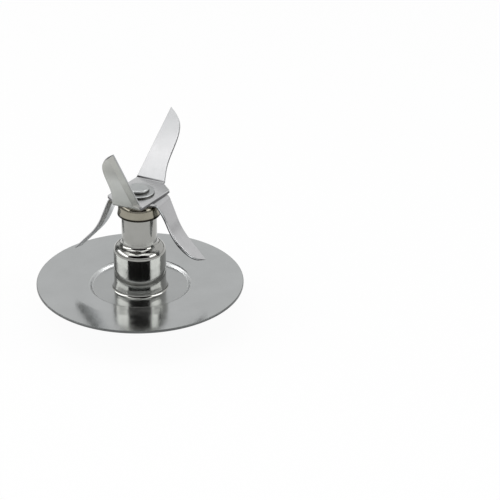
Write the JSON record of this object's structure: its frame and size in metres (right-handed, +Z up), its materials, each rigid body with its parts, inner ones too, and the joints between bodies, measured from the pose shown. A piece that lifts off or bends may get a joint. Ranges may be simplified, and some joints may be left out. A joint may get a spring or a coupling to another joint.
{
  "type": "blender blade assembly",
  "caption": "Stainless blender blade unit: stamped round flange, stepped bearing hub and a spindle that turns two crossed folded blades above it, with a square drive end below.",
  "frame": {"origin": "on the spindle's axis, in the plane of the flange rim's underside, where the jar's ring clamps the unit", "axes": "+Z up the spindle towards the blades, +X along the upper blade's rear arm, +Y along the lower blade"},
  "size_m": [0.066, 0.066, 0.0669],
  "materials": {
    "flange_steel": "stamped stainless, polished satin",
    "hub_steel": "drawn stainless, bright polished",
    "blade_steel": "stainless, satin, ground leading edges",
    "spindle_steel": "turned stainless",
    "collar_nickel": "turned, dull nickel plated",
    "bearing_bronze": "sintered, oil filled",
    "wick_felt": "pressed felt",
    "seal_rubber": "moulded, matt"
  },
  "bodies": {
    "base": {"base_flange": "flange_steel", "bearing_housing": "hub_steel", "lower_bushing": "bearing_bronze", "oil_wick": "wick_felt", "upper_bushing": "bearing_bronze", "shaft_seal": "seal_rubber"},
    "rotor": {"drive_spindle": "spindle_steel", "lower_thrust_washer": "bearing_bronze", "upper_thrust_washer": "bearing_bronze", "slinger_collar": "collar_nickel", "lower_blade": "blade_steel", "upper_blade": "blade_steel", "rivet_washer": "spindle_steel"}
  },
  "joints": [
    {"name": "rotor_spin", "type": "hinge", "parent": "base", "child": "rotor", "pos_m": [0, 0, 0], "axis": [0, 0, 1], "continuous": true}
  ]
}
